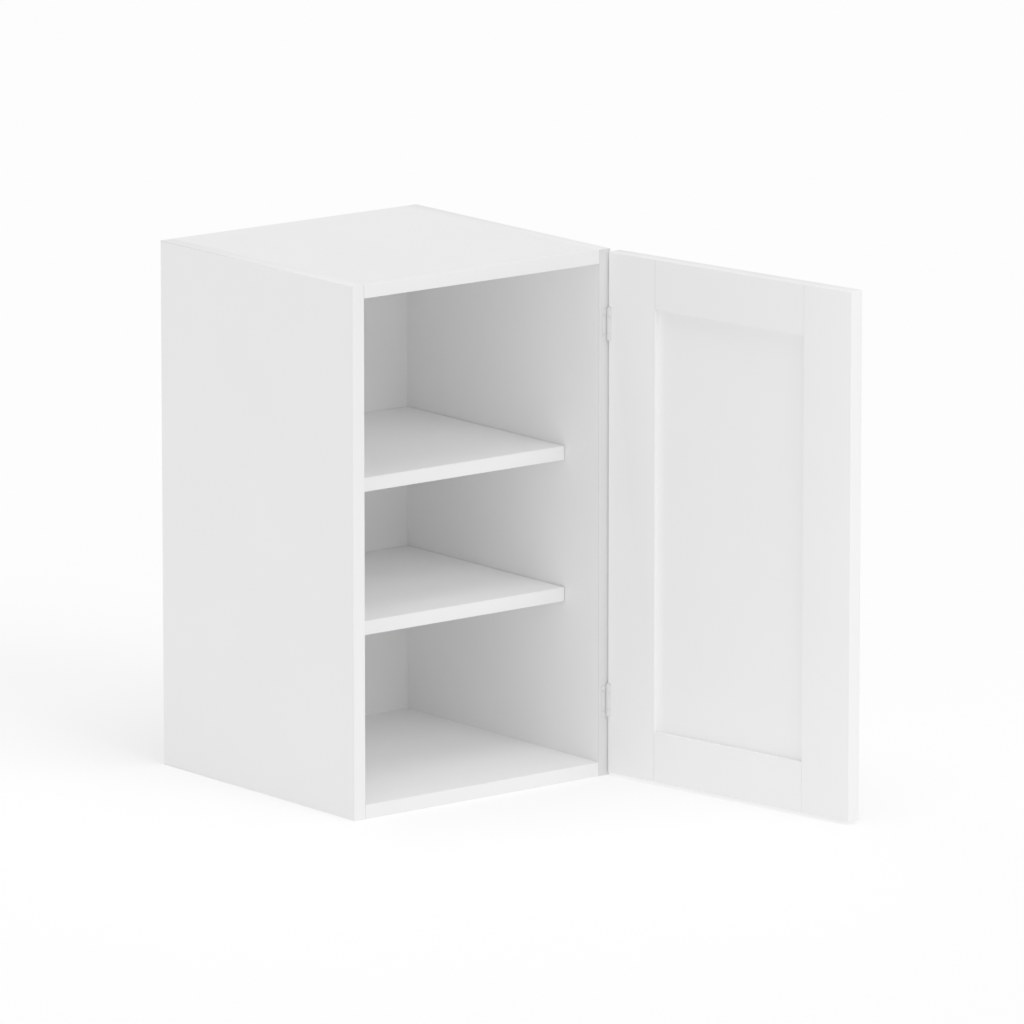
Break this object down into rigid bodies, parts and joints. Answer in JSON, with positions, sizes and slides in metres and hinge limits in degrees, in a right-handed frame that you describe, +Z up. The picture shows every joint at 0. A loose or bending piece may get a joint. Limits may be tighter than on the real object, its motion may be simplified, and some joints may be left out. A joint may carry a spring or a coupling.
{
  "type": "wall cabinet",
  "caption": "Frameless wall cabinet with a hinged frame-and-panel door, loose shelves on pins and a hanging rail for wall screws.",
  "frame": {"origin": "centre of the four wall-screw holes, on the plane of the wall at the cabinet's back", "axes": "+X to the right as one faces the door, +Y into the wall, +Z up"},
  "size_m": [0.438, 0.7157, 0.61],
  "materials": {
    "melamine_board": "satin white melamine on chipboard",
    "edge_band": "satin white edge band",
    "door_lacquer": "satin white lacquer on fibreboard",
    "hardboard": "hardboard, painted white on the inner face",
    "zinc_casting": "die-cast zinc",
    "plated_steel": "zinc-plated steel",
    "hinge_metal": "steel painted white",
    "beech": "raw beech"
  },
  "bodies": {
    "carcass": {"back_panel": "hardboard", "back_panel_nails": "plated_steel", "bottom_panel": "melamine_board", "cam_bolts_bottom": "plated_steel", "cam_bolts_top": "plated_steel", "cam_locks_bottom": "zinc_casting", "cam_locks_top": "zinc_casting", "dowels_bottom": "beech", "dowels_rail": "beech", "dowels_top": "beech", "edge_band_bottom": "edge_band", "edge_band_rail": "edge_band", "edge_band_side_left": "edge_band", "edge_band_side_right": "edge_band", "edge_band_top": "edge_band", "hanging_rail": "melamine_board", "hinge_leaf_cabinet_lower": "hinge_metal", "hinge_leaf_cabinet_upper": "hinge_metal", "hinge_pin_lower": "hinge_metal", "hinge_pin_upper": "hinge_metal", "hinge_screws_cabinet_lower": "hinge_metal", "hinge_screws_cabinet_upper": "hinge_metal", "shelf_pins_lower": "plated_steel", "shelf_pins_upper": "plated_steel", "side_panel_left": "melamine_board", "side_panel_right": "melamine_board", "top_panel": "melamine_board"},
    "door": {"door_panel": "door_lacquer", "door_rail_bottom": "door_lacquer", "door_rail_top": "door_lacquer", "door_stile_free": "door_lacquer", "door_stile_hinge": "door_lacquer", "hinge_leaf_door_lower": "hinge_metal", "hinge_leaf_door_upper": "hinge_metal", "hinge_screws_door_lower": "hinge_metal", "hinge_screws_door_upper": "hinge_metal"},
    "shelf_upper": {"shelf_upper_board": "melamine_board", "shelf_upper_edge_band": "edge_band"},
    "shelf_lower": {"shelf_lower_board": "melamine_board", "shelf_lower_edge_band": "edge_band"}
  },
  "joints": [
    {"name": "door_hinge", "type": "hinge", "parent": "carcass", "child": "door", "pos_m": [0.1802, -0.359, -0.251], "axis": [0, 0, 1], "range_deg": [-99, 11]},
    {"name": "shelf_upper_lift", "type": "slide", "parent": "carcass", "child": "shelf_upper", "axis": [0, 0, 1], "range_m": [0, 0.12]},
    {"name": "shelf_lower_lift", "type": "slide", "parent": "carcass", "child": "shelf_lower", "axis": [0, 0, 1], "range_m": [0, 0.12]}
  ]
}
